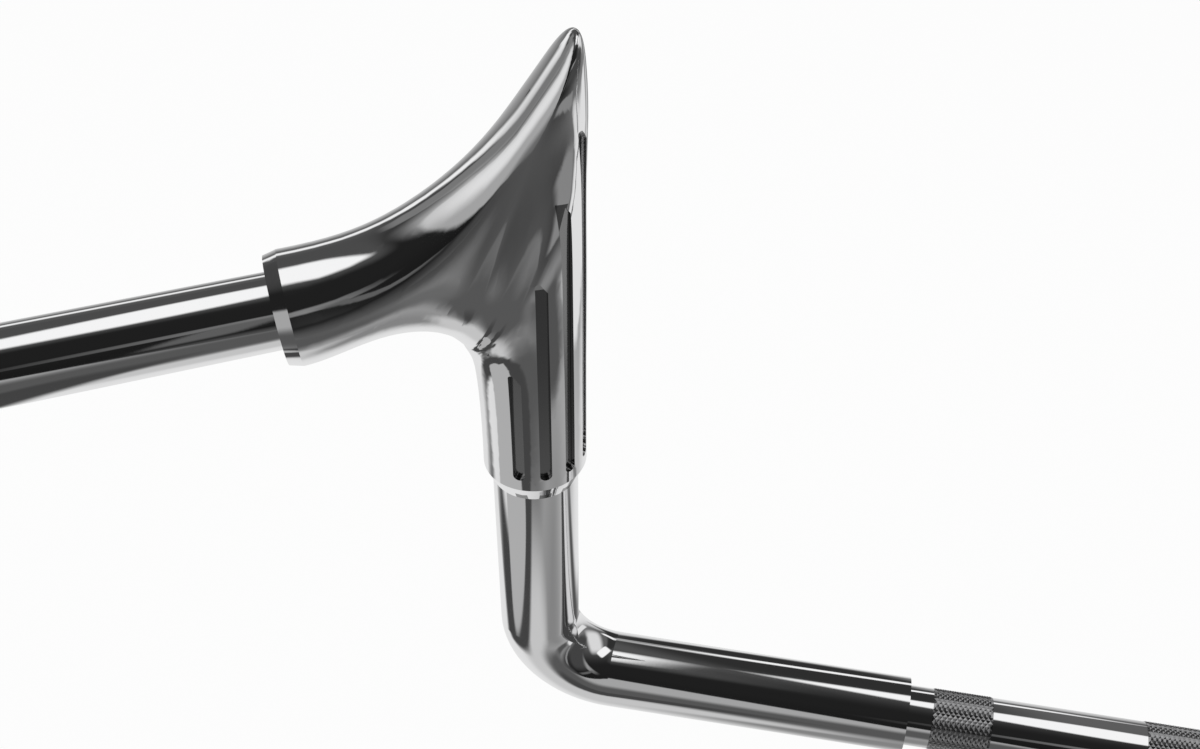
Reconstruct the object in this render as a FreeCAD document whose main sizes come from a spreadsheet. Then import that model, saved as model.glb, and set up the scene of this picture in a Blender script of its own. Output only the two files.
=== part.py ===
import FreeCAD, Part
import Sketcher
import math
import os

from FreeCAD import Placement, Rotation, Vector

# Low-rise handlebar: a knurled centre tube, a bent rise tube plugged over each of its ends,
# a fluted corner piece on each rise tube, and a grip tube in each corner piece.
#
# Row frame: +X to the rider's right, +Y forward, +Z up. The origin is the middle of the
# centre tube, on its axis, where the risers hold the bar.

doc = FreeCAD.newDocument("Handlebar")

# Driving dimensions, in millimetres and degrees.

DIMENSIONS = [
    # Centre tube, held by the risers
    ("centre_tube_diameter", 25.4, "outside diameter of the clamped tube"),
    ("centre_tube_wall", 3.0, "wall of the clamped tube"),
    ("sleeve_end", 69.6, "from the middle of the bar to the open end of each rise tube"),
    ("centre_tube_overlap", 45.0, "length of centre tube inside each rise tube"),
    # Rise tubes
    ("rise_tube_diameter", 31.75, "outside diameter of the bent tube"),
    ("leg_offset", 229.3, "from the middle of the bar to the upright part of the rise tube"),
    ("bend_radius", 31.75, "centre-line radius of the bend"),
    # Corner pieces
    ("arm_height", 215.4, "height at which the grip axis meets the upright"),
    ("arm_sweep", 27.3, "rearward angle of the grip, seen from above"),
    ("arm_droop", 4.8, "downward angle of the grip"),
    ("corner_diameter", 38.1, "outside diameter of both collars"),
    ("leg_collar_drop", 91.7, "from the axes' crossing down to the leg collar's chamfer"),
    ("leg_chamfer_height", 7.2, "height of the leg collar's long chamfer"),
    ("collar_lip", 0.3, "thin rim left at the foot of the leg collar"),
    ("arm_collar_reach", 76.8, "from the axes' crossing out to the arm collar's chamfer"),
    ("arm_chamfer_length", 4.3, "length of the arm collar's chamfer"),
    ("arm_chamfer_step", 1.15, "radial depth of the arm collar's chamfer"),
    ("peak_height", 83.4, "from the axes' crossing up to the pointed top"),
    ("column_length", 36.9, "straight round length of the column above its foot"),
    ("leg_socket_depth", 36.0, "length of rise tube inside the leg collar"),
    ("arm_socket_depth", 26.0, "length of grip tube inside the arm collar"),
    ("passage_diameter", 10.0, "cored passage that joins the two sockets"),
    # Flutes round the corner piece
    ("flute_width", 4.4, "width of a flute"),
    ("flute_depth", 1.9, "depth of a flute's flat floor below the collar's surface"),
    ("flute_spacing", 30.0, "angle between neighbouring flutes"),
    ("flute_foot", 84.5, "from the axes' crossing down to the round foot of each flute"),
    ("flute_slant", 6.8, "how far the end of a flute slants down across its width"),
    ("flute_tip_radius", 1.1, "radius of the small rounded tip above the slant"),
    ("flute_top_back", 66.0, "top of the flute on the back line"),
    ("flute_top_second", 54.5, "top of the next flutes"),
    ("flute_top_third", 31.5, "top of the third flutes"),
    ("flute_top_side", 3.6, "top of the flutes on the sides"),
    ("flute_top_front", -35.6, "top of the flutes nearest the grip"),
    # Grip tubes
    ("grip_tube_diameter", 25.4, "outside diameter of the grip tube"),
    ("grip_tube_wall", 3.2, "wall of the grip tube"),
    ("grip_tube_length", 235.0, "whole length of the grip tube"),
    ("grip_end_chamfer", 0.8, "chamfer round the open end of the grip tube"),
    # Fits
    ("fit_clearance", 0.05, "radial clearance of a tube in the bore that it is pressed into"),
]

sheet = doc.addObject("Spreadsheet::Sheet", "Dimensions")
for row, (alias, value, note) in enumerate(DIMENSIONS, start=1):
    sheet.set(f"A{row}", alias)
    sheet.set(f"B{row}", str(value))
    sheet.set(f"C{row}", note)
    sheet.setAlias(f"B{row}", alias)
doc.recompute()


def size(alias):
    """Return the number held by one cell of the sheet."""
    return float(sheet.get(alias))


def origin_plane(body, role):
    """Return one of a body's own origin planes, such as XY_Plane."""
    return next(item for item in body.Origin.OriginFeatures if item.Role == role)


def new_sketch(body, name, role):
    """Add a sketch to a body, laid flat on one of its origin planes."""
    sketch = body.newObject("Sketcher::SketchObject", name)
    sketch.AttachmentSupport = [(origin_plane(body, role), "")]
    sketch.MapMode = "FlatFace"
    return sketch


def centred_circle(sketch, name, expression):
    """Draw a circle about the sketch's origin, with its diameter bound to the sheet."""
    circle = Part.Circle(Vector(0, 0, 0), Vector(0, 0, 1), 10)
    index = sketch.addGeometry(circle, False)
    sketch.addConstraint(Sketcher.Constraint("Coincident", index, 3, -1, 1))
    bound_constraint(sketch, name, expression, Sketcher.Constraint("Diameter", index, 20))


def bound_constraint(sketch, name, expression, constraint):
    """Add a named constraint to a sketch and bind it to an expression."""
    index = sketch.addConstraint(constraint)
    sketch.renameConstraint(index, name)
    sketch.setExpression(f"Constraints.{name}", expression)


# Centre tube: a plain round tube, long enough to reach into both rise tubes.

centre_tube = doc.addObject("PartDesign::Body", "centre_tube")
centre_tube.Label = "centre_tube"
ring = new_sketch(centre_tube, "centre_tube_ring", "YZ_Plane")
centred_circle(ring, "outside", "Dimensions.centre_tube_diameter")
centred_circle(ring, "bore", "Dimensions.centre_tube_diameter - 2 * Dimensions.centre_tube_wall")
centre_pad = centre_tube.newObject("PartDesign::Pad", "centre_tube_pad")
centre_pad.Profile = ring
centre_pad.Midplane = True
centre_pad.setExpression(
    "Length", "2 * (Dimensions.sleeve_end + Dimensions.centre_tube_overlap)"
)


# Rise tube: its bore slips over the centre tube, it runs out along X, turns up in one bend
# and ends on the shoulder inside the corner piece.

right_rise_tube = doc.addObject("PartDesign::Body", "right_rise_tube")
right_rise_tube.Label = "right_rise_tube"

route = new_sketch(right_rise_tube, "rise_tube_route", "XZ_Plane")
offset = size("leg_offset")
turn = size("bend_radius")
start = size("sleeve_end")
top = size("arm_height") - size("leg_collar_drop")
lower_run = route.addGeometry(
    Part.LineSegment(Vector(start, 0, 0), Vector(offset - turn, 0, 0)), False
)
bend = route.addGeometry(
    Part.ArcOfCircle(
        Part.Circle(Vector(offset - turn, turn, 0), Vector(0, 0, 1), turn),
        -math.pi / 2,
        0,
    ),
    False,
)
upright = route.addGeometry(
    Part.LineSegment(Vector(offset, turn, 0), Vector(offset, top, 0)), False
)
route.addConstraint(Sketcher.Constraint("PointOnObject", lower_run, 1, -1))
route.addConstraint(Sketcher.Constraint("Horizontal", lower_run))
route.addConstraint(Sketcher.Constraint("Vertical", upright))
route.addConstraint(Sketcher.Constraint("Tangent", lower_run, 2, bend, 1))
route.addConstraint(Sketcher.Constraint("Tangent", bend, 2, upright, 1))
bound_constraint(
    route, "sleeve_end", "Dimensions.sleeve_end",
    Sketcher.Constraint("DistanceX", -1, 1, lower_run, 1, start),
)
bound_constraint(
    route, "leg_offset", "Dimensions.leg_offset",
    Sketcher.Constraint("DistanceX", -1, 1, upright, 2, offset),
)
bound_constraint(
    route, "tube_top",
    "Dimensions.arm_height - Dimensions.leg_collar_drop - Dimensions.leg_chamfer_height"
    " + Dimensions.leg_socket_depth",
    Sketcher.Constraint("DistanceY", -1, 1, upright, 2, top),
)
bound_constraint(
    route, "bend_radius", "Dimensions.bend_radius",
    Sketcher.Constraint("Radius", bend, turn),
)

section = new_sketch(right_rise_tube, "rise_tube_ring", "YZ_Plane")
section.setExpression(".AttachmentOffset.Base.z", "Dimensions.sleeve_end")
centred_circle(section, "outside", "Dimensions.rise_tube_diameter")
centred_circle(
    section, "bore", "Dimensions.centre_tube_diameter + 2 * Dimensions.fit_clearance"
)
rise_pipe = right_rise_tube.newObject("PartDesign::AdditivePipe", "rise_tube_pipe")
rise_pipe.Profile = section
rise_pipe.Spine = route
doc.recompute()


# Corner piece, in its own frame: the origin is where the two tubes' axes cross, +X points
# out over the grip and +Z runs up the leg. One lofted skin rises as a round column, grows a
# pointed back and turns over into the arm. Every section spans from the inner outline, which
# is the leg's front and the arch, to the outer outline, which is the straight back, the peak
# and the long curve down to the arm.

collar_radius = size("corner_diameter") / 2
droop = math.radians(size("arm_droop"))
arm_direction = Vector(math.cos(droop), 0, -math.sin(droop))
arm_upward = Vector(math.sin(droop), 0, math.cos(droop))
peak = size("peak_height")
collar_top = -size("leg_collar_drop")
collar_foot = collar_top - size("leg_chamfer_height")
column_top = collar_foot + size("column_length")
arm_collar = size("arm_collar_reach")
arm_end = arm_collar + size("arm_chamfer_length")


def on_arm(reach, height):
    """Return the point at a distance out along the arm and above its axis."""
    return arm_direction * reach + arm_upward * height


def on_leg(x, z):
    """Return the point of the corner's middle plane at x and z."""
    return Vector(x, 0, z)


def smooth_section(inner, outer, half_width, inner_fullness=1, outer_fullness=1, points=24):
    """Make one closed smooth section between an inner and an outer point.

    half_width is taken midway. An end with a fullness of 1 is that of an ellipse, and a
    larger fullness makes the end rounder and broader.
    """
    span = outer - inner
    across = Vector(0, 1, 0)
    lean = (inner_fullness - outer_fullness) / 2
    swell = (inner_fullness + outer_fullness) / 2 - 1
    outline = []
    for step in range(points):
        angle = 2 * math.pi * step / points
        along = math.cos(angle)
        width = half_width * math.sin(angle) * (1 + lean * along + swell * along * along)
        outline.append(inner + span * (1 - along) / 2 + across * width)
    curve = Part.BSplineCurve()
    knots = [step / points for step in range(points + 1)]
    curve.interpolate(Points=outline, PeriodicFlag=True, Parameters=knots)
    return curve


# Each row gives, as shares: the inner point's x and z by the collar's radius, the outer
# point's x by the collar's radius and z by the peak's height, the half width by the collar's
# radius, and the fullness of the inner and the outer end.
LEG_SECTIONS = [
    # Leaving the round column
    (1.051, -2.322, -1.000, -0.431, 0.998, 1.02, 1.01),
    (1.151, -1.848, -1.004, -0.020, 0.985, 1.16, 1.07),
    # The sides close in towards the peak while the back stays straight
    (1.257, -1.575, -1.004, 0.459, 0.970, 1.42, 1.09),
    (1.370, -1.391, -0.994, 0.892, 0.765, 2.06, 1.30),
    # Round the pointed top
    (1.507, -1.237, -0.834, 1.000, 0.720, 2.25, 1.42),
    (1.574, -1.188, -0.572, 0.932, 0.720, 2.17, 1.38),
    (1.963, -1.018, 0.523, 0.581, 0.790, 1.65, 1.20),
]
# Each row gives, as shares: the inner point's reach by the arm collar's and height by the
# collar's radius, the same for the outer point, the half width and the two fullnesses.
ARM_SECTIONS = [
    # Down the long curve to the arm, broadening to the round collar
    (0.713, -0.772, 0.482, 1.427, 0.905, 1.17, 0.99),
    (0.927, -0.964, 0.847, 1.028, 0.979, 1.02, 1.00),
]

corner_sections = [
    smooth_section(on_leg(collar_radius, z), on_leg(-collar_radius, z), collar_radius)
    for z in (collar_foot, column_top)
]
for inner_x, inner_z, outer_x, outer_z, half_width, inner_full, outer_full in LEG_SECTIONS:
    corner_sections.append(smooth_section(
        on_leg(inner_x * collar_radius, inner_z * collar_radius),
        on_leg(outer_x * collar_radius, outer_z * peak),
        half_width * collar_radius, inner_full, outer_full,
    ))
for inner_x, inner_z, outer_x, outer_z, half_width, inner_full, outer_full in ARM_SECTIONS:
    corner_sections.append(smooth_section(
        on_arm(inner_x * arm_collar, inner_z * collar_radius),
        on_arm(outer_x * arm_collar, outer_z * collar_radius),
        half_width * collar_radius, inner_full, outer_full,
    ))
for reach in (arm_collar, arm_end):
    corner_sections.append(smooth_section(
        on_arm(reach, -collar_radius), on_arm(reach, collar_radius), collar_radius
    ))


def skinned_solid(sections):
    """Close one smooth surface that passes through every section into a solid."""
    rows = [section.getPoles() for section in sections]
    stations = [0.0]
    for near, far in zip(rows, rows[1:]):
        gaps = [far_pole.distanceToPoint(near_pole) for near_pole, far_pole in zip(near, far)]
        stations.append(stations[-1] + sum(gaps) / len(gaps))
    ribs = []
    for poles in zip(*rows):
        rib = Part.BSplineCurve()
        rib.interpolate(Points=list(poles), Parameters=stations)
        ribs.append(rib)
    surface = Part.BSplineSurface()
    surface.buildFromPolesMultsKnots(
        [rib.getPoles() for rib in ribs],
        sections[0].getMultiplicities(),
        ribs[0].getMultiplicities(),
        sections[0].getKnots(),
        ribs[0].getKnots(),
        True,
        False,
        sections[0].Degree,
        ribs[0].Degree,
    )
    ends = [surface.vIso(stations[0]), surface.vIso(stations[-1])]
    caps = [Part.Face(Part.Wire([end.toShape()])) for end in ends]
    shell = Part.Shell([surface.toShape()] + caps)
    shell.sewShape()
    solid = Part.Solid(shell)
    if solid.Volume < 0:
        solid.reverse()
    return solid


corner_form = doc.addObject("Part::Feature", "corner_form")
corner_form.Label = "corner_form"
corner_form.Shape = skinned_solid(corner_sections)


# Each flute's cutter reaches this share of the collar's radius out from the flute's floor.
FLUTE_CUTTER_REACH = 0.5


def revolved(points):
    """Turn a closed outline of (radius, z) points once round the Z axis."""
    corners = [Vector(radius, 0, z) for radius, z in points]
    face = Part.Face(Part.makePolygon(corners + corners[:1]))
    return face.revolve(Vector(0, 0, 0), Vector(0, 0, 1), 360)


def chamfer_ring(foot_radius, collar, length):
    """Make the ring of waste outside a collar's chamfer, which narrows down to z = 0."""
    step = collar - foot_radius
    beyond = 0.2
    low = (foot_radius - step * beyond, -length * beyond)
    high = (collar + step * beyond, length * (1 + beyond))
    return revolved([low, high, (high[0] + collar, high[1]), (high[0] + collar, low[1])])


def rod(diameter, foot, top):
    """Make a round rod on the Z axis between two heights."""
    return Part.makeCylinder(diameter / 2, top - foot, Vector(0, 0, foot))


def flute_cutter(angle, tip, side):
    """Make the flat-floored cutter of one flute, at an angle from the back of the leg.

    The foot is half round. The tip is half round on the back line, where side is 0. On
    either side of it the end slants down towards the grip from a small rounded tip.
    """
    half = size("flute_width") / 2
    foot = -size("flute_foot")
    under = Part.Arc(Vector(0, -half, foot), Vector(0, 0, foot - half), Vector(0, half, foot))
    if side == 0:
        near = Vector(0, half, tip - half)
        far = Vector(0, -half, tip - half)
        crest = Part.Arc(far, Vector(0, 0, tip), near)
        closing = []
    else:
        slant = size("flute_slant")
        nose = size("flute_tip_radius")
        slope = math.hypot(slant, 2 * half)
        outward = Vector(0, slant / slope, 2 * half / slope)
        centre = Vector(0, nose - half, tip - nose)
        far = Vector(0, -half, tip - nose)
        touch = centre + outward * nose
        middle = centre + (outward + Vector(0, -1, 0)).normalize() * nose
        crest = Part.Arc(far, middle, touch)
        near = Vector(0, half, touch.z - (half - touch.y) * slant / (2 * half))
        closing = [Part.makeLine(touch, near)]
    outline = Part.Wire(
        [under.toShape(), Part.makeLine(Vector(0, half, foot), near)] + closing
        + [crest.toShape(), Part.makeLine(far, Vector(0, -half, foot))]
    )
    reach = collar_radius * FLUTE_CUTTER_REACH
    cutter = Part.Face(outline).extrude(Vector(-reach, 0, 0))
    cutter.translate(Vector(size("flute_depth") - collar_radius, 0, 0))
    if side < 0:
        cutter = cutter.mirror(Vector(0, 0, 0), Vector(0, 1, 0))
    cutter.rotate(Vector(0, 0, 0), Vector(0, 0, 1), side * angle)
    return cutter


def add_shape(name, shape, placement=None):
    """Add a shape made here to the document, and place it."""
    item = doc.addObject("Part::Feature", name)
    item.Shape = shape
    if placement is not None:
        item.Placement = placement
    return item


# Waste cut from the corner piece: both collars' chamfers, the two tube sockets with flat
# shoulders, the cored passage between them, and the flutes.

leg_socket_bore = size("rise_tube_diameter") + 2 * size("fit_clearance")
arm_socket_bore = size("grip_tube_diameter") + 2 * size("fit_clearance")
leg_shoulder = collar_foot + size("leg_socket_depth")
arm_shoulder = arm_end - size("arm_socket_depth")
passage = size("passage_diameter")
along_arm = Placement(Vector(0, 0, 0), Rotation(Vector(0, 0, 1), arm_direction))
clear_out = 5

leg_waste = add_shape(
    "leg_chamfer_waste",
    chamfer_ring(leg_socket_bore / 2 + size("collar_lip"), collar_radius,
                 size("leg_chamfer_height")),
    Placement(on_leg(0, collar_foot), Rotation()),
)
arm_waste = add_shape(
    "arm_chamfer_waste",
    chamfer_ring(collar_radius - size("arm_chamfer_step"), collar_radius,
                 size("arm_chamfer_length")),
    Placement(on_arm(arm_end, 0), Rotation(Vector(0, 0, 1), arm_direction * -1)),
)
leg_socket = add_shape(
    "leg_socket", rod(leg_socket_bore, collar_foot - clear_out, leg_shoulder)
)
arm_socket = add_shape(
    "arm_socket", rod(arm_socket_bore, arm_shoulder, arm_end + clear_out), along_arm
)
leg_passage = add_shape("leg_passage", rod(passage, leg_shoulder - 1, passage / 2))
arm_passage = add_shape(
    "arm_passage", rod(passage, -passage / 2, arm_shoulder + 1), along_arm
)

flute_cutters = []
for step, place in enumerate(["back", "second", "third", "side", "front"]):
    for side in ([0] if step == 0 else [-1, 1]):
        cutter = flute_cutter(step * size("flute_spacing"), size(f"flute_top_{place}"), side)
        flute_cutters.append(add_shape(f"flute_{place}_{side + 1}", cutter))

corner_waste = doc.addObject("Part::MultiFuse", "corner_waste")
corner_waste.Shapes = [
    leg_waste, arm_waste, leg_socket, arm_socket, leg_passage, arm_passage,
] + flute_cutters

right_corner = doc.addObject("Part::Cut", "right_corner")
right_corner.Label = "right_corner"
right_corner.Base = corner_form
right_corner.Tool = corner_waste
right_corner.Placement = Placement(
    Vector(size("leg_offset"), 0, size("arm_height")),
    Rotation(Vector(0, 0, 1), -size("arm_sweep")),
)
doc.recompute()


# Grip tube: seated on the shoulder inside the arm collar, open at its outer end. It is drawn
# along +X and turned to the grip's direction.

right_grip_tube = doc.addObject("PartDesign::Body", "right_grip_tube")
right_grip_tube.Label = "right_grip_tube"
wall_outline = new_sketch(right_grip_tube, "grip_tube_wall_outline", "XZ_Plane")
length = size("grip_tube_length")
outside = size("grip_tube_diameter") / 2
inside = outside - size("grip_tube_wall")
bevel = size("grip_end_chamfer")
outline_points = [
    Vector(0, inside, 0),
    Vector(length, inside, 0),
    Vector(length, outside - bevel, 0),
    Vector(length - bevel, outside, 0),
    Vector(0, outside, 0),
]
for index, point in enumerate(outline_points):
    following = outline_points[(index + 1) % len(outline_points)]
    wall_outline.addGeometry(Part.LineSegment(point, following), False)
for index in range(len(outline_points)):
    following = (index + 1) % len(outline_points)
    wall_outline.addConstraint(Sketcher.Constraint("Coincident", index, 2, following, 1))
wall_outline.addConstraint(Sketcher.Constraint("Horizontal", 0))
wall_outline.addConstraint(Sketcher.Constraint("Vertical", 1))
wall_outline.addConstraint(Sketcher.Constraint("Horizontal", 3))
wall_outline.addConstraint(Sketcher.Constraint("Vertical", 4))
wall_outline.addConstraint(Sketcher.Constraint("PointOnObject", 0, 1, -2))
bound_constraint(
    wall_outline, "bore_radius",
    "Dimensions.grip_tube_diameter / 2 - Dimensions.grip_tube_wall",
    Sketcher.Constraint("DistanceY", -1, 1, 0, 1, inside),
)
bound_constraint(
    wall_outline, "outer_radius", "Dimensions.grip_tube_diameter / 2",
    Sketcher.Constraint("DistanceY", -1, 1, 3, 2, outside),
)
bound_constraint(
    wall_outline, "length", "Dimensions.grip_tube_length",
    Sketcher.Constraint("DistanceX", -1, 1, 0, 2, length),
)
bound_constraint(
    wall_outline, "bevel_length", "Dimensions.grip_end_chamfer",
    Sketcher.Constraint("DistanceX", 2, 2, 2, 1, bevel),
)
bound_constraint(
    wall_outline, "bevel_height", "Dimensions.grip_end_chamfer",
    Sketcher.Constraint("DistanceY", 2, 1, 2, 2, bevel),
)
grip_turn = right_grip_tube.newObject("PartDesign::Revolution", "grip_tube_turning")
grip_turn.Profile = wall_outline
grip_turn.ReferenceAxis = (wall_outline, ["H_Axis"])
grip_turn.Angle = 360
grip_seat = right_corner.Placement.multVec(on_arm(arm_shoulder, 0))
grip_heading = right_corner.Placement.Rotation.multVec(arm_direction)
right_grip_tube.Placement = Placement(grip_seat, Rotation(Vector(1, 0, 0), grip_heading))
doc.recompute()


# The left half is the mirror image of the right.

sub_parts = [centre_tube, right_rise_tube, right_corner, right_grip_tube]
for source in (right_rise_tube, right_corner, right_grip_tube):
    name = source.Label.replace("right", "left")
    mirrored = doc.addObject("Part::Mirroring", name)
    mirrored.Label = name
    mirrored.Source = source
    mirrored.Base = Vector(0, 0, 0)
    mirrored.Normal = Vector(1, 0, 0)
    sub_parts.append(mirrored)
doc.recompute()


# Nothing is written unless every object is sound.

for item in doc.Objects:
    if "Invalid" in item.State or "Error" in item.State:
        raise RuntimeError(f"{item.Label} failed: {item.State}")
for item in sub_parts:
    if item.Shape.isNull() or not item.Shape.isValid() or not item.Shape.Solids:
        raise RuntimeError(f"{item.Label} has no valid solid")

os.makedirs("parts", exist_ok=True)
for item in sub_parts:
    item.Shape.exportStep(f"parts/{item.Label}.step")
    print(item.Label, len(item.Shape.Solids), round(item.Shape.Volume, 1))
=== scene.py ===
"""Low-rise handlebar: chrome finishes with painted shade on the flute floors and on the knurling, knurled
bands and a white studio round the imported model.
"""

import logging
import math
from dataclasses import dataclass, field
from enum import Enum
from typing import Union

import bmesh
import bpy
from mathutils import Matrix, Vector


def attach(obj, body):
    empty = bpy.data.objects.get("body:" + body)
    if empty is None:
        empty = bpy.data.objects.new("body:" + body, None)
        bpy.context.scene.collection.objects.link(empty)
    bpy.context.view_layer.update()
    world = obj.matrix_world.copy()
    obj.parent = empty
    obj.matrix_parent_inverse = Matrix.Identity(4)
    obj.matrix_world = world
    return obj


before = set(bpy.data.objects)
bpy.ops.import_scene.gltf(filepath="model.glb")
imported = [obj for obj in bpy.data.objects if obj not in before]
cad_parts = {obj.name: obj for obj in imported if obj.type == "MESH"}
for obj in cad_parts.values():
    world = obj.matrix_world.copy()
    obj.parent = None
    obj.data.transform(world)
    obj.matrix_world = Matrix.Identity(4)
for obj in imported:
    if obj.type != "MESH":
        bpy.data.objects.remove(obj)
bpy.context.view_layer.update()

log = logging.getLogger("handlebar")

MM = 0.001
PHOTO_WIDTH = 1200
WHITE = (1.0, 1.0, 1.0, 1.0)

# Limits that keep a card's mask finite in directions far from the card.
SMALLEST_AHEAD = 0.001
LARGEST_SHARE = 50.0

Socket = bpy.types.NodeSocket
Value = Union[float, Socket]


class Slot(Enum):
    """The record's material slots."""

    TUBE = "tube_chrome"
    CORNER = "corner_chrome"


class Side(Enum):
    """The two halves of the bar, as the sign of X."""

    LEFT = -1
    RIGHT = 1


class Graph:
    """A short way to write the nodes of one material or world."""

    def __init__(self, tree: bpy.types.NodeTree) -> None:
        """Clear a node tree and take it over.

        Args:
            tree: The node tree to fill.
        """
        self.tree = tree
        tree.nodes.clear()

    def node(self, kind: str, **settings: object) -> bpy.types.Node:
        """Add one node.

        Args:
            kind: The node's type name.
            **settings: Properties of the node itself.

        Returns:
            The new node.
        """
        made = self.tree.nodes.new(kind)
        for name, value in settings.items():
            setattr(made, name, value)
        return made

    def feed(self, socket: Socket, value: object) -> None:
        """Give an input a constant, or link it to an output.

        Args:
            socket: The input.
            value: A number, a tuple or an output socket.
        """
        if isinstance(value, bpy.types.NodeSocket):
            self.tree.links.new(value, socket)
        else:
            socket.default_value = value

    def math(self, operation: str, first: Value, second: Value = 0.0, third: Value = 0.0) -> Socket:
        """Add one Math node.

        Args:
            operation: The node's operation.
            first: Its first input.
            second: Its second input.
            third: Its third input.

        Returns:
            The node's output.
        """
        made = self.node("ShaderNodeMath", operation=operation)
        for socket, value in zip(made.inputs, (first, second, third)):
            self.feed(socket, value)
        return made.outputs[0]

    def dot(self, vector: Socket, direction: Vector) -> Socket:
        """Return the dot product of a vector with a fixed direction.

        Args:
            vector: The vector's output socket.
            direction: The fixed direction.

        Returns:
            The product as an output socket.
        """
        made = self.node("ShaderNodeVectorMath", operation="DOT_PRODUCT")
        self.feed(made.inputs[0], vector)
        made.inputs[1].default_value = direction
        return made.outputs["Value"]

    def ramp(self, value: Value, low: float, high: float) -> Socket:
        """Return a smooth step, which may rise or fall.

        Args:
            value: What the step is read at.
            low: Where the step is 0; it may be the larger of the two.
            high: Where the step is 1.

        Returns:
            The step as an output socket.
        """
        made = self.node("ShaderNodeMapRange", interpolation_type="SMOOTHSTEP")
        self.feed(made.inputs["Value"], value)
        ends = sorted((low, high))
        made.inputs["From Min"].default_value = ends[0]
        made.inputs["From Max"].default_value = ends[1]
        made.inputs["To Min"].default_value = 0.0 if low < high else 1.0
        made.inputs["To Max"].default_value = 1.0 if low < high else 0.0
        return made.outputs["Result"]

    def curve(self, value: Value, stops: list[tuple[float, float]], low: float, high: float) -> Socket:
        """Return a grey read from a curve of stops.

        Args:
            value: What the curve is read at.
            stops: Pairs of a place between low and high and the grey there.
            low: The value at the curve's left end.
            high: The value at the curve's right end.

        Returns:
            The grey as an output socket.
        """
        place = self.node("ShaderNodeMapRange")
        self.feed(place.inputs["Value"], value)
        place.inputs["From Min"].default_value = low
        place.inputs["From Max"].default_value = high
        made = self.node("ShaderNodeValToRGB")
        made.color_ramp.interpolation = "LINEAR"
        elements = made.color_ramp.elements
        elements.remove(elements[0])
        elements[0].position = (stops[0][0] - low) / (high - low)
        elements[0].color = (stops[0][1],) * 3 + (1.0,)
        for where, grey in stops[1:]:
            element = elements.new((where - low) / (high - low))
            element.color = (grey,) * 3 + (1.0,)
        self.tree.links.new(place.outputs["Result"], made.inputs["Fac"])
        return made.outputs["Color"]


def heading(azimuth: float, elevation: float) -> Vector:
    """Return a direction from two angles.

    Args:
        azimuth: Degrees from +Y towards +X.
        elevation: Degrees above the level.

    Returns:
        The direction as a unit vector.
    """
    turn, rise = math.radians(azimuth), math.radians(elevation)
    return Vector((math.sin(turn) * math.cos(rise), math.cos(turn) * math.cos(rise), math.sin(rise)))


@dataclass(frozen=True)
class ChromeFinish:
    """Mirror chrome with the faint haze and fine polishing marks of a plated tube."""

    name: str
    tint: tuple[float, float, float]
    gloss: float = 0.035
    haze: float = 0.03
    haze_size: float = 0.045
    haze_from: float = 0.35
    haze_to: float = 0.75
    haze_octaves: float = 3.0
    mark_size: float = 0.0012
    mark_height: float = 0.000002
    mark_strength: float = 0.5
    mark_octaves: float = 2.0

    def material(self) -> bpy.types.Material:
        """Make the finish.

        Returns:
            The finish as a material.
        """
        made = bpy.data.materials.new(self.name)
        made.use_nodes = True
        graph = Graph(made.node_tree)
        out = graph.node("ShaderNodeOutputMaterial")
        shader = graph.node("ShaderNodeBsdfPrincipled")
        graph.feed(out.inputs["Surface"], shader.outputs["BSDF"])
        place = graph.node("ShaderNodeTexCoord").outputs["Object"]
        haze = self.cloud(graph, place, 1 / self.haze_size, self.haze_octaves)
        shader.inputs["Metallic"].default_value = 1.0
        shader.inputs["Base Color"].default_value = (*self.tint, 1.0)
        rough = graph.node("ShaderNodeMapRange")
        graph.feed(rough.inputs["Value"], haze)
        rough.inputs["From Min"].default_value = self.haze_from
        rough.inputs["From Max"].default_value = self.haze_to
        rough.inputs["To Min"].default_value = self.gloss
        rough.inputs["To Max"].default_value = self.gloss + self.haze
        graph.feed(shader.inputs["Roughness"], rough.outputs["Result"])
        self.paint_shade_and_roughen_recesses(graph, place, shader, rough.outputs["Result"])
        marks = self.cloud(graph, place, 1 / self.mark_size, self.mark_octaves)
        bump = graph.node("ShaderNodeBump")
        bump.inputs["Strength"].default_value = self.mark_strength
        bump.inputs["Distance"].default_value = self.mark_height
        graph.feed(bump.inputs["Height"], marks)
        graph.feed(shader.inputs["Normal"], bump.outputs["Normal"])
        return made

    def paint_shade_and_roughen_recesses(self, graph: Graph, place: Socket, shader: bpy.types.Node, rough: Socket) -> None:
        """Paint no shade and leave the plate as bright everywhere: a plain tube has no recess."""

    @staticmethod
    def cloud(graph: Graph, place: Socket, scale: float, detail: float) -> Socket:
        """Return a noise pattern.

        Args:
            graph: The material's nodes.
            place: The coordinates.
            scale: Waves per metre.
            detail: Octaves.

        Returns:
            The noise between 0 and 1.
        """
        noise = graph.node("ShaderNodeTexNoise")
        graph.feed(noise.inputs["Vector"], place)
        noise.inputs["Scale"].default_value = scale
        noise.inputs["Detail"].default_value = detail
        return noise.outputs["Fac"]


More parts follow.
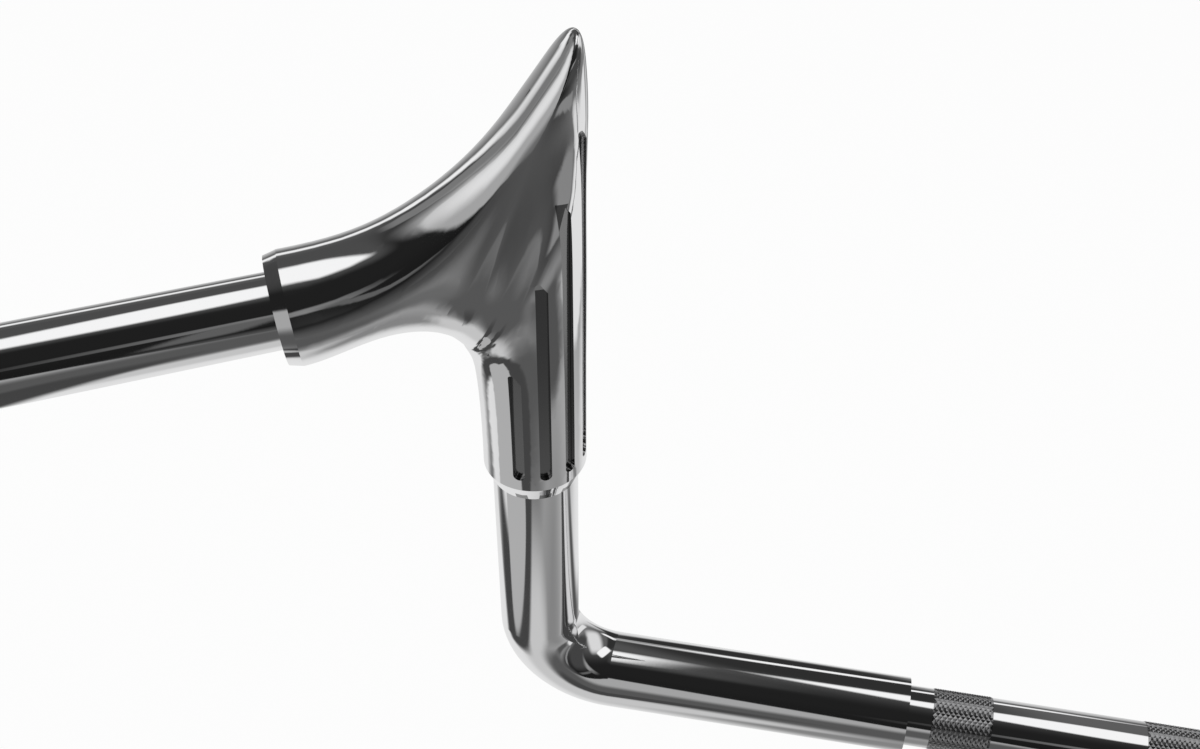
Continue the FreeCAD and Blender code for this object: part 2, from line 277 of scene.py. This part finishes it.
@dataclass(frozen=True)
class FlutedChromeFinish(ChromeFinish):
    """Mirror chrome that is duller on the floors of the flutes, where no buff reaches, and darker there
    with painted shade.
    """

    # The grey of the painted shade on the flute floors.
    painted_recess_shade_tint: float = 0.22
    recess_gloss: float = 0.12
    axis_x: float = 229.3 * MM
    back_degrees: float = 27.3
    spacing_degrees: float = 30.0
    flutes_each_side: int = 4
    floor_radius: float = 17.15 * MM
    half_width: float = 2.2 * MM
    margin: float = 0.1 * MM
    foot: float = 116.0 * MM
    back_top: float = 280.0 * MM
    top_drop: float = 101.6 * MM
    top_power: float = 1.6

    def paint_shade_and_roughen_recesses(self, graph: Graph, place: Socket, shader: bpy.types.Node, rough: Socket) -> None:
        """Paint shade on the floors of the flutes with a darker tint, and roughen them.

        Args:
            graph: The material's nodes.
            place: The coordinates on the object.
            shader: The metal's shader.
            rough: The plate's roughness.
        """
        recess = self.recess(graph, place)
        # Painted shade: the flute floors take a darker tint than the plate.
        tint = graph.node("ShaderNodeMix", data_type="RGBA")
        graph.feed(tint.inputs["Factor"], recess)
        tint.inputs["A"].default_value = (*self.tint, 1.0)
        tint.inputs["B"].default_value = (self.painted_recess_shade_tint,) * 3 + (1.0,)
        graph.feed(shader.inputs["Base Color"], tint.outputs["Result"])
        graph.feed(shader.inputs["Roughness"],
                   graph.math("MULTIPLY_ADD", recess, self.recess_gloss, rough))

    def recess(self, graph: Graph, place: Socket) -> Socket:
        """Return 1 on the floors of the flutes, where shade is painted and the plate is rougher, and 0
        elsewhere, for either corner piece.

        Args:
            graph: The material's nodes.
            place: The coordinates on the object.

        Returns:
            The mask as an output socket.
        """
        axes = graph.node("ShaderNodeSeparateXYZ")
        graph.feed(axes.inputs[0], place)
        across, along, height = axes.outputs
        inward = graph.math("SUBTRACT", self.axis_x, graph.math("ABSOLUTE", across))
        turn = graph.math("SUBTRACT", graph.math("ARCTAN2", along, inward), math.radians(self.back_degrees))
        spacing = math.radians(self.spacing_degrees)
        number = graph.math("ROUND", graph.math("DIVIDE", turn, spacing))
        off_line = graph.math("MULTIPLY_ADD", number, -spacing, turn)
        reach = graph.math("SQRT", graph.math("MULTIPLY_ADD", inward, inward,
                                              graph.math("MULTIPLY", along, along)))
        depth = graph.math("MULTIPLY", reach, graph.math("COSINE", off_line))
        aside = graph.math("ABSOLUTE", graph.math("MULTIPLY", reach, graph.math("SINE", off_line)))
        rank = graph.math("DIVIDE", graph.math("ABSOLUTE", number), float(self.flutes_each_side))
        top = graph.math("MULTIPLY_ADD", graph.math("POWER", rank, self.top_power),
                         -self.top_drop, self.back_top)
        mask = graph.ramp(depth, self.floor_radius + 3 * self.margin, self.floor_radius + self.margin)
        mask = graph.math("MULTIPLY", mask,
                          graph.ramp(aside, self.half_width + 1.5 * self.margin, self.half_width))
        last = 1 + 0.5 / self.flutes_each_side
        mask = graph.math("MULTIPLY", mask, graph.math("LESS_THAN", rank, last))
        mask = graph.math("MULTIPLY", mask, graph.math("GREATER_THAN", height, self.foot))
        return graph.math("MULTIPLY", mask, graph.math("LESS_THAN", height, top))


@dataclass
class KnurledBand:
    """One band of raised diamonds rolled into the centre tube, where a riser grips it."""

    side: Side
    inner_end: float = 33.3 * MM
    outer_end: float = 59.1 * MM
    tube_radius: float = 12.7 * MM
    valley_rise: float = 0.02 * MM
    diamond_rise: float = 0.3 * MM
    diamonds_round: int = 30
    diamonds_along: int = 12

    def build(self) -> bpy.types.Object:
        """Make the band round the centre tube.

        Returns:
            The band's object.
        """
        length = self.outer_end - self.inner_end
        valley = self.tube_radius + self.valley_rise
        shell = bmesh.new()
        bmesh.ops.create_cone(
            shell, cap_ends=False, segments=2 * self.diamonds_round,
            radius1=valley, radius2=valley, depth=length,
        )
        along = [edge for edge in shell.edges
                 if abs(edge.verts[0].co.z - edge.verts[1].co.z) > length / 2]
        bmesh.ops.subdivide_edges(
            shell, edges=along, cuts=2 * self.diamonds_along - 1, use_grid_fill=True
        )
        self.raise_diamonds(shell, length, valley)
        bmesh.ops.triangulate(shell, faces=shell.faces[:], quad_method="SHORT_EDGE")
        self.close_ends(shell, length)
        middle = (self.inner_end + self.outer_end) / 2 * self.side.value
        turn = Matrix.Translation((middle, 0, 0)) @ Matrix.Rotation(math.pi / 2, 4, "Y")
        bmesh.ops.transform(shell, matrix=turn, verts=shell.verts[:])
        bmesh.ops.recalc_face_normals(shell, faces=shell.faces[:])
        name = f"{self.side.name.lower()}_knurled_band"
        mesh = bpy.data.meshes.new(name)
        shell.to_mesh(mesh)
        shell.free()
        band = bpy.data.objects.new(name, mesh)
        bpy.context.scene.collection.objects.link(band)
        return band

    def raise_diamonds(self, shell: bmesh.types.BMesh, length: float, valley: float) -> None:
        """Lift every second corner of the grid, so that each becomes the top of a diamond.

        Args:
            shell: The gridded band, on the Z axis.
            length: The band's length.
            valley: The radius at the foot of the diamonds.
        """
        pitch_round = math.pi / self.diamonds_round
        pitch_along = length / (2 * self.diamonds_along)
        for corner in shell.verts:
            column = round(math.atan2(corner.co.y, corner.co.x) / pitch_round)
            row = round((corner.co.z + length / 2) / pitch_along)
            at_end = row in (0, 2 * self.diamonds_along)
            if (column + row) % 2 == 0 and not at_end:
                grow = 1 + self.diamond_rise / valley
                corner.co.x *= grow
                corner.co.y *= grow

    def close_ends(self, shell: bmesh.types.BMesh, length: float) -> None:
        """Turn both open rims in, down to just inside the tube's surface.

        Args:
            shell: The band, on the Z axis.
            length: The band's length.
        """
        rims = [edge for edge in shell.edges if edge.is_boundary]
        made = bmesh.ops.extrude_edge_only(shell, edges=rims)
        inside = 1 - 2 * self.valley_rise / self.tube_radius
        fresh = [item for item in made["geom"] if isinstance(item, bmesh.types.BMVert)]
        bmesh.ops.scale(shell, vec=(inside, inside, 1), verts=fresh)


@dataclass
class Handlebar:
    """The carried-over solids and the pieces that are added to them."""

    tube_finish: ChromeFinish = ChromeFinish("tube_chrome_plate", (0.90, 0.90, 0.905))
    corner_finish: ChromeFinish = FlutedChromeFinish("corner_chrome_plate", (0.90, 0.90, 0.905), gloss=0.03)
    # The knurl's dark tint is painted shade, standing in for the darkness of its fine grooves; its
    # roughness is the plate's own.
    knurl_finish: ChromeFinish = ChromeFinish(
        "knurl_chrome_painted_shade", (0.36, 0.36, 0.365), gloss=0.14, haze=0.1, haze_size=0.004
    )

    def dress(self) -> None:
        """Give every carried-over solid its finish."""
        tube = self.tube_finish.material()
        corner = self.corner_finish.material()
        for name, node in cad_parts.items():
            is_corner = name.endswith("corner")
            node.data.materials.clear()
            node.data.materials.append(corner if is_corner else tube)
            log.info("dressed %s", name)

    def add_knurling(self) -> None:
        """Add the two knurled bands."""
        finish = self.knurl_finish.material()
        for side in Side:
            band = KnurledBand(side).build()
            band.data.materials.append(finish)
            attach(band, "root")
            log.info("built %s with %d faces", band.name, len(band.data.polygons))


@dataclass(frozen=True)
class LightPanel:
    """One light or dark card in the studio tent: its angles and size in degrees, corners rounded."""

    azimuth: float
    elevation: float
    half_width: float
    half_height: float
    brightness: float
    soft: float = 0.15
    roll: float = 0.0
    squareness: float = 6.0

    def mask(self, graph: Graph, direction: Socket) -> Socket:
        """Return 1 inside the card and 0 outside it.

        Args:
            graph: The tent's nodes.
            direction: The direction from the middle of the tent.

        Returns:
            The mask as an output socket.
        """
        centre = heading(self.azimuth, self.elevation)
        level = heading(self.azimuth + 90, 0)
        upward = level.cross(centre)
        lean = math.radians(self.roll)
        across = level * math.cos(lean) + upward * math.sin(lean)
        rise = upward * math.cos(lean) - level * math.sin(lean)
        ahead = graph.dot(direction, centre)
        safe = graph.math("MAXIMUM", ahead, SMALLEST_AHEAD)
        total: Value = 0.0
        for axis, half in ((across, self.half_width), (rise, self.half_height)):
            share = graph.math("DIVIDE", graph.dot(direction, axis / math.tan(math.radians(half))), safe)
            share = graph.math("MINIMUM", graph.math("ABSOLUTE", share), LARGEST_SHARE)
            total = graph.math("ADD", graph.math("POWER", share, self.squareness), total)
        place = graph.math("POWER", total, 1 / self.squareness)
        inside = graph.ramp(place, 1 + self.soft, 1 - self.soft)
        return graph.math("MULTIPLY", inside, graph.math("GREATER_THAN", ahead, 0.0))


@dataclass
class Studio:
    """A white floor for the camera, and a dark tent with light panels for the chrome to mirror.

    Lengths are in metres and angles in degrees.
    """

    floor_height: float = -0.30
    floor_reach: float = 12.0
    floor_colour: tuple[float, float, float] = (0.80, 0.80, 0.80)
    floor_glow: float = 0.9
    tent_radius: float = 4.0
    tent_clearance: float = 0.01
    lamp_size: tuple[float, float] = (3.0, 2.2)
    lamp_place: tuple[float, float, float] = (-0.3, 0.4, 2.2)
    lamp_watts: float = 25.0
    world_level: float = 0.7
    far_azimuth: float = 24.0
    near_wall_edge: float = -0.5
    far_wall_edge: float = 0.75
    # Pairs of elevation and brightness, behind the camera and ahead of it.
    near_wall: list[tuple[float, float]] = field(default_factory=lambda: [
        (-90, 0.50), (-70, 0.25), (-55, 0.25), (-42, 0.32), (-28, 0.34), (-21, 0.20), (-15, 0.075),
        (-9, 0.04), (-4, 0.02), (0, 0.01), (40, 0.015),
    ])
    far_wall: list[tuple[float, float]] = field(default_factory=lambda: [
        (-90, 0.90), (-45, 0.50), (-28, 0.30), (-18, 0.22), (-8, 0.18), (2, 0.12), (40, 0.12),
    ])
    # A broad soft card low on the left, one low on the right, and one that lightens the bend.
    floor_cards: list[LightPanel] = field(default_factory=lambda: [
        LightPanel(-56, -38, 65, 31, 0.80, soft=0.85, roll=-4),
        LightPanel(68, -28, 39, 11.5, 0.80, soft=0.12, roll=-4),
        LightPanel(-136, -42, 18, 10, 0.60, soft=0.5),
    ])
    # A tall pale card ahead on the right, and darker ones beside it and above.
    wall_cards: list[LightPanel] = field(default_factory=lambda: [
        LightPanel(53, 34, 19, 36, 0.75, soft=0.4, roll=-32),
        LightPanel(-2, 27, 9, 47, 0.03, soft=0.4, roll=-3),
        LightPanel(-63, 61, 17, 36, 0.075, soft=0.3, roll=49),
        LightPanel(-75, 20, 8, 16, 0.20, soft=0.2, roll=-42),
    ])
    # The bright bands along the top of the grip tube and of the centre tube.
    overhead_lights: list[LightPanel] = field(default_factory=lambda: [
        LightPanel(-83, 71, 17, 11, 1.0, soft=0.2, roll=-3, squareness=5),
        LightPanel(60, 74, 18, 11, 1.0, soft=0.15),
    ])
    # The long highlight down the arch, its brighter heart, and the thin lines along the tubes.
    side_lights: list[LightPanel] = field(default_factory=lambda: [
        LightPanel(-146, 11.5, 54, 22, 0.40, soft=0.06, roll=32, squareness=2.5),
        LightPanel(-118, 24, 27, 15, 0.80, soft=0.75, roll=22, squareness=2),
        LightPanel(-44, 15, 30, 4.5, 0.95, soft=0.6, roll=16),
        LightPanel(3, 19, 13, 3.5, 1.0, soft=0.35, roll=-43),
        LightPanel(121, 21, 41, 5, 0.35, soft=0.55, roll=17),
        LightPanel(164, 14, 2, 12, 0.12, soft=0.35),
    ])
    # The grey flank of the column, and a light strip between dark ones down the leg.
    low_cards: list[LightPanel] = field(default_factory=lambda: [
        LightPanel(109, 9, 46, 17, 0.06, soft=0.3, roll=7),
        LightPanel(132, -13, 22, 2, 0.25, soft=0.25, roll=6),
        LightPanel(-174, -21, 25, 16, 0.10, soft=0.45),
        LightPanel(136, -33, 20, 7, 0.09, soft=0.5),
        LightPanel(-124, -32, 40, 4, 0.06, soft=0.3),
        LightPanel(-121, -27, 17, 5, 0.45, soft=0.07),
        LightPanel(2, -56, 30, 4, 0.09, soft=0.7, roll=-12),
    ])

    def build(self) -> None:
        """Make the floor, the tent, the lamp and the world."""
        self.make_floor()
        self.make_tent()
        self.make_lamp()
        self.make_world()

    def make_floor(self) -> None:
        """Lay the plain pale floor."""
        plane = bmesh.new()
        bmesh.ops.create_grid(plane, x_segments=1, y_segments=1, size=self.floor_reach)
        bmesh.ops.translate(plane, vec=(0, 0, self.floor_height), verts=plane.verts[:])
        floor = self.stage_piece("studio_floor", plane)
        material = bpy.data.materials.new("studio_floor_paper")
        material.use_nodes = True
        graph = Graph(material.node_tree)
        out = graph.node("ShaderNodeOutputMaterial")
        paper = graph.node("ShaderNodeBsdfDiffuse")
        paper.inputs["Color"].default_value = (*self.floor_colour, 1.0)
        glow = graph.node("ShaderNodeEmission")
        glow.inputs["Color"].default_value = WHITE
        glow.inputs["Strength"].default_value = 1.0
        mix = graph.node("ShaderNodeMixShader")
        seen = self.seen_directly(graph)
        graph.feed(mix.inputs["Fac"], graph.math("MULTIPLY", seen, self.floor_glow))
        graph.feed(mix.inputs[1], paper.outputs["BSDF"])
        graph.feed(mix.inputs[2], glow.outputs["Emission"])
        graph.feed(out.inputs["Surface"], mix.outputs["Shader"])
        floor.data.materials.append(material)

    @staticmethod
    def seen_directly(graph: Graph) -> Socket:
        """Find the rays that show the background, in the view or in metal and glass.

        Args:
            graph: The nodes of a material or the world.

        Returns:
            An output socket that is 1 for such a ray and 0 for any other.
        """
        path = graph.node("ShaderNodeLightPath")
        rays = graph.math("MAXIMUM", path.outputs["Is Camera Ray"], path.outputs["Is Glossy Ray"])
        return graph.math("MAXIMUM", rays, path.outputs["Is Transmission Ray"])

    @staticmethod
    def stage_piece(name: str, shape: bmesh.types.BMesh) -> bpy.types.Object:
        """Turn a finished shape into an object that isn't part of the handlebar.

        Args:
            name: The object's name.
            shape: Its shape, which is freed.

        Returns:
            The new object.
        """
        mesh = bpy.data.meshes.new(name)
        shape.to_mesh(mesh)
        shape.free()
        piece = bpy.data.objects.new(name, mesh)
        bpy.context.scene.collection.objects.link(piece)
        log.info("set up %s", name)
        return piece

    def make_tent(self) -> None:
        """Hang the dark tent that only the metal mirrors."""
        ball = bmesh.new()
        bmesh.ops.create_icosphere(ball, subdivisions=4, radius=self.tent_radius)
        bmesh.ops.reverse_faces(ball, faces=ball.faces[:])
        flat = self.floor_height + self.tent_clearance
        for corner in ball.verts:
            if corner.co.z < flat:
                corner.co *= flat / corner.co.z
        tent = self.stage_piece("studio_tent", ball)
        tent.visible_camera = False
        tent.visible_diffuse = False
        tent.visible_shadow = False
        material = bpy.data.materials.new("studio_tent_cloth")
        material.use_nodes = True
        graph = Graph(material.node_tree)
        out = graph.node("ShaderNodeOutputMaterial")
        glow = graph.node("ShaderNodeEmission")
        glow.inputs["Strength"].default_value = 1.0
        graph.feed(glow.inputs["Color"], self.tent_pattern(graph))
        graph.feed(out.inputs["Surface"], glow.outputs["Emission"])
        tent.data.materials.append(material)

    def tent_pattern(self, graph: Graph) -> Socket:
        """Return the tent's brightness: a lit floor that fades into dark walls, and the panels.

        Args:
            graph: The tent's nodes.

        Returns:
            The brightness as an output socket.
        """
        place = graph.node("ShaderNodeTexCoord").outputs["Object"]
        unit = graph.node("ShaderNodeVectorMath", operation="NORMALIZE")
        graph.feed(unit.inputs[0], place)
        direction = unit.outputs["Vector"]
        height = graph.dot(direction, Vector((0, 0, 1)))
        rise = graph.math("MULTIPLY", graph.math("ARCSINE", height), 180 / math.pi)
        near = graph.curve(rise, self.near_wall, -90, 90)
        far = graph.curve(rise, self.far_wall, -90, 90)
        ahead = graph.dot(direction, heading(self.far_azimuth, 0))
        share = graph.ramp(ahead, self.near_wall_edge, self.far_wall_edge)
        base = graph.node("ShaderNodeMix", data_type="RGBA")
        graph.feed(base.inputs["Factor"], share)
        graph.feed(base.inputs["A"], near)
        graph.feed(base.inputs["B"], far)
        total = base.outputs["Result"]
        for panel in (self.floor_cards + self.wall_cards + self.overhead_lights
                      + self.side_lights + self.low_cards):
            mix = graph.node("ShaderNodeMix", data_type="RGBA")
            graph.feed(mix.inputs["Factor"], panel.mask(graph, direction))
            graph.feed(mix.inputs["A"], total)
            mix.inputs["B"].default_value = (panel.brightness,) * 3 + (1.0,)
            total = mix.outputs["Result"]
        return total

    def make_lamp(self) -> None:
        """Hang one large soft lamp over the bar."""
        data = bpy.data.lights.new("overhead_lamp", "AREA")
        data.shape = "RECTANGLE"
        data.size = self.lamp_size[0]
        data.size_y = self.lamp_size[1]
        data.energy = self.lamp_watts
        lamp = bpy.data.objects.new("overhead_lamp", data)
        lamp.location = self.lamp_place
        lamp.visible_glossy = False
        bpy.context.scene.collection.objects.link(lamp)

    def make_world(self) -> None:
        """Make the world plain white, at full strength only where it is seen directly."""
        world = bpy.data.worlds.new("studio_world")
        bpy.context.scene.world = world
        world.use_nodes = True
        graph = Graph(world.node_tree)
        out = graph.node("ShaderNodeOutputWorld")
        background = graph.node("ShaderNodeBackground")
        background.inputs["Color"].default_value = WHITE
        seen = self.seen_directly(graph)
        level = graph.math("MULTIPLY_ADD", seen, 1 - self.world_level, self.world_level)
        graph.feed(background.inputs["Strength"], level)
        graph.feed(out.inputs["Surface"], background.outputs["Background"])


@dataclass
class PhotoCamera:
    """The camera, standing behind and above the left half of the bar."""

    place: tuple[float, float, float] = (-0.1218, -0.3733, 0.5087)
    rightward: tuple[float, float, float] = (0.9881, 0.1050, 0.1124)
    upward: tuple[float, float, float] = (-0.1537, 0.6459, 0.7477)
    focal_px: float = 1419.13
    centre_x_px: float = 828.0
    sensor_mm: float = 36.0
    nearest: float = 0.02
    farthest: float = 60.0

    def build(self) -> None:
        """Make the camera and hand it to the scene."""
        data = bpy.data.cameras.new("photo_camera")
        data.sensor_fit = "HORIZONTAL"
        data.sensor_width = self.sensor_mm
        data.lens = self.focal_px / PHOTO_WIDTH * self.sensor_mm
        data.shift_x = (PHOTO_WIDTH / 2 - self.centre_x_px) / PHOTO_WIDTH
        data.clip_start = self.nearest
        data.clip_end = self.farthest
        camera = bpy.data.objects.new("photo_camera", data)
        across = Vector(self.rightward).normalized()
        backward = across.cross(Vector(self.upward)).normalized()
        rise = backward.cross(across)
        turn = Matrix((across, rise, backward)).transposed().to_4x4()
        camera.matrix_world = Matrix.Translation(self.place) @ turn
        bpy.context.scene.collection.objects.link(camera)
        bpy.context.scene.camera = camera
        log.info("placed %s", camera.name)


def main() -> None:
    """Dress the bar, add its pieces, and set up the studio and the camera."""
    logging.basicConfig(level=logging.INFO, format="%(message)s")
    bpy.context.scene.view_settings.view_transform = "Standard"
    bar = Handlebar()
    bar.dress()
    bar.add_knurling()
    Studio().build()
    PhotoCamera().build()


if __name__ == "__main__":
    main()
